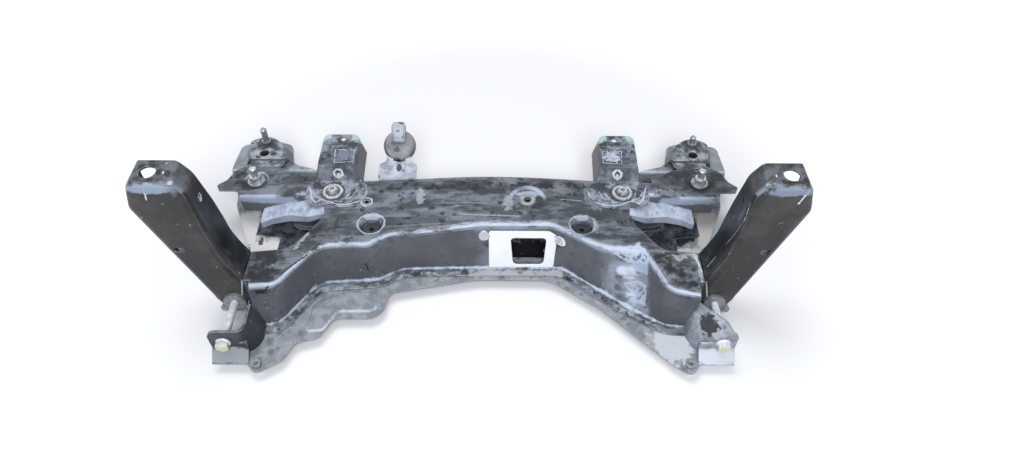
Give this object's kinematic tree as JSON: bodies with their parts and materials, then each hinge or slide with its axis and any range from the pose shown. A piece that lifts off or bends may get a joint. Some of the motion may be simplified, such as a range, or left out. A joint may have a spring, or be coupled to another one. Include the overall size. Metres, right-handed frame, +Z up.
{
  "type": "subframe",
  "caption": "Pressed steel front subframe: arched cross beam with a tall horn, a bolted wishbone pocket and a body mount at each end, a window and an exhaust hanger.",
  "frame": {"origin": "on the ground, on the middle plane of the car, under the middle of the cross beam", "axes": "+X across the car, to the right as seen from the front; +Y to the rear; +Z up"},
  "size_m": [0.9402, 0.4617, 0.31],
  "materials": {
    "upper_paint": "worn black primer on the upper pressing",
    "lower_paint": "dusty black primer on the lower pressing",
    "horn_paint": "worn black primer",
    "bracket_paint": "worn black primer with dust",
    "white_paint": "plain white",
    "worn_steel": "dull bare steel",
    "zinc": "yellow zinc",
    "hanger_steel": "dusty primer",
    "hanger_rubber": "dusty rubber"
  },
  "bodies": {
    "root": {"hanger_bracket": "hanger_steel", "hanger_lug": "hanger_steel", "hanger_rubber": "hanger_rubber", "left_bush_gusset": "upper_paint", "left_corner_bracket": "bracket_paint", "left_dimple_nut": "worn_steel", "left_front_bolt": "zinc", "left_front_bracket": "bracket_paint", "left_front_nut": "zinc", "left_horn": "horn_paint", "left_horn_collar": "worn_steel", "left_locating_stud": "worn_steel", "left_lug_nut": "worn_steel", "left_mount_sleeve": "worn_steel", "left_rack_bolt": "worn_steel", "left_rack_bracket": "bracket_paint", "left_rack_nut": "zinc", "left_rack_sleeve": "worn_steel", "left_rear_bolt": "worn_steel", "left_rear_nut": "worn_steel", "left_rear_washer": "worn_steel", "lower_shell": "lower_paint", "right_bush_gusset": "upper_paint", "right_corner_bracket": "bracket_paint", "right_dimple_nut": "worn_steel", "right_front_bolt": "zinc", "right_front_bracket": "bracket_paint", "right_front_nut": "zinc", "right_horn": "horn_paint", "right_horn_collar": "worn_steel", "right_locating_stud": "worn_steel", "right_lug_nut": "worn_steel", "right_mount_sleeve": "worn_steel", "right_rack_bolt": "worn_steel", "right_rack_bracket": "bracket_paint", "right_rack_nut": "zinc", "right_rack_sleeve": "worn_steel", "right_rear_bolt": "worn_steel", "right_rear_nut": "worn_steel", "right_rear_washer": "worn_steel", "rod_collar": "worn_steel", "rod_weld_nut": "worn_steel", "upper_shell": "upper_paint", "window_plate": "white_paint"}
  },
  "joints": []
}
